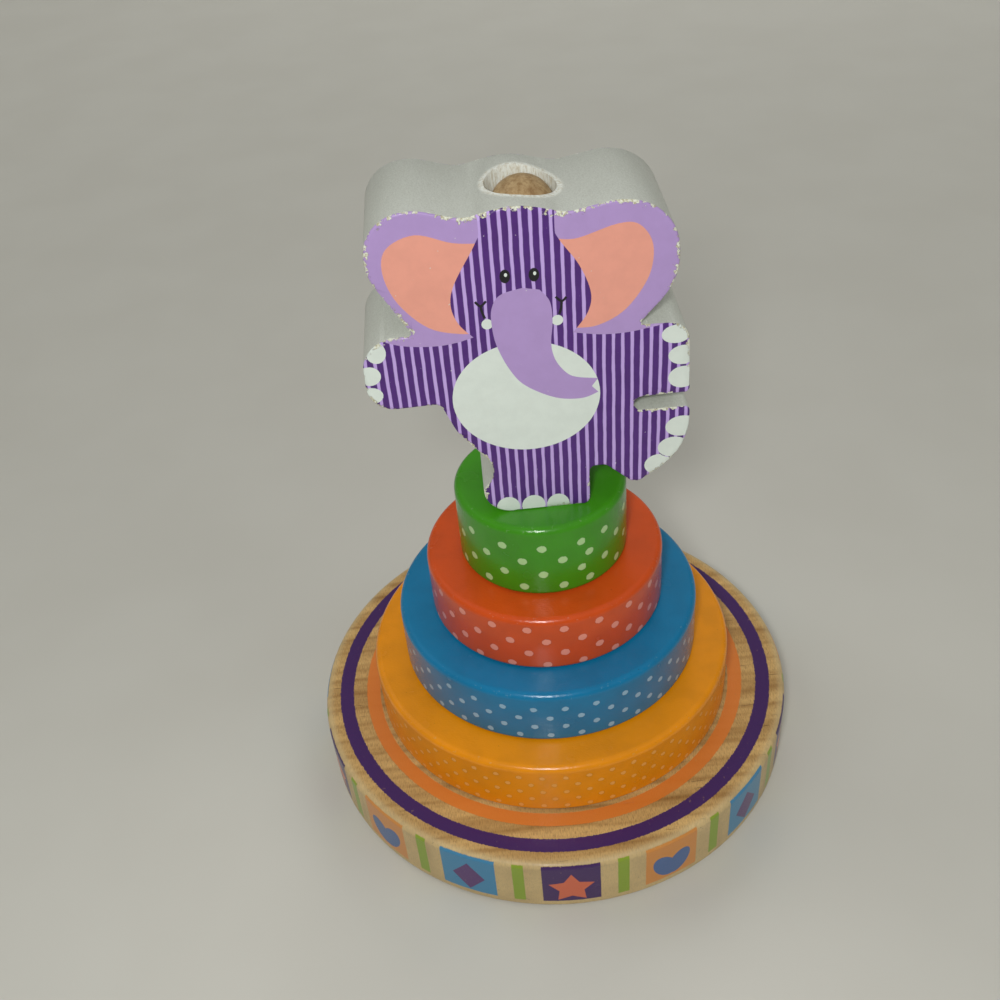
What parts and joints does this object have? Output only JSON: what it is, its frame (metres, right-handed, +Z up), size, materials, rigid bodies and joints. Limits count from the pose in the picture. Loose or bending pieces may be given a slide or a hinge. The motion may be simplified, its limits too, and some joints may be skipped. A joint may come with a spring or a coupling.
{
  "type": "stacking ring toy",
  "caption": "Wooden stacking toy: a round base with an upright peg, loose painted rings of falling size and a flat elephant topper with a hole for the peg.",
  "frame": {"origin": "centre of the base disc's underside, on the peg's axis", "axes": "+Z up along the peg, the elephant's printed face looks along -Y, +X to the viewer's right"},
  "size_m": [0.15, 0.15, 0.1914],
  "materials": {
    "base_wood": "lacquered pale wood with printed rings and band",
    "peg_wood": "bare sanded dowel",
    "steel": "bright zinc",
    "yellow_paint": "glossy yellow-orange paint with pale dots",
    "blue_paint": "glossy blue paint with pale dots",
    "orange_paint": "glossy orange-red paint with pink dots",
    "green_paint": "glossy green paint with pale dots",
    "elephant_paint": "white paint with a printed purple striped face"
  },
  "bodies": {
    "stand": {"base_disc": "base_wood", "center_peg": "peg_wood", "peg_screw": "steel"},
    "yellow": {"yellow_ring": "yellow_paint"},
    "blue": {"blue_ring": "blue_paint"},
    "orange": {"orange_ring": "orange_paint"},
    "green": {"green_ring": "green_paint"},
    "elephant": {"elephant_topper": "elephant_paint"}
  },
  "joints": [
    {"name": "yellow_lift", "type": "slide", "parent": "stand", "child": "yellow", "axis": [0, 0, 1], "range_m": [0, 0.175]},
    {"name": "blue_lift", "type": "slide", "parent": "yellow", "child": "blue", "axis": [0, 0, 1], "range_m": [0, 0.156]},
    {"name": "orange_lift", "type": "slide", "parent": "blue", "child": "orange", "axis": [0, 0, 1], "range_m": [0, 0.136]},
    {"name": "green_lift", "type": "slide", "parent": "orange", "child": "green", "axis": [0, 0, 1], "range_m": [0, 0.117]},
    {"name": "elephant_lift", "type": "slide", "parent": "green", "child": "elephant", "axis": [0, 0, 1], "range_m": [0, 0.093]}
  ]
}
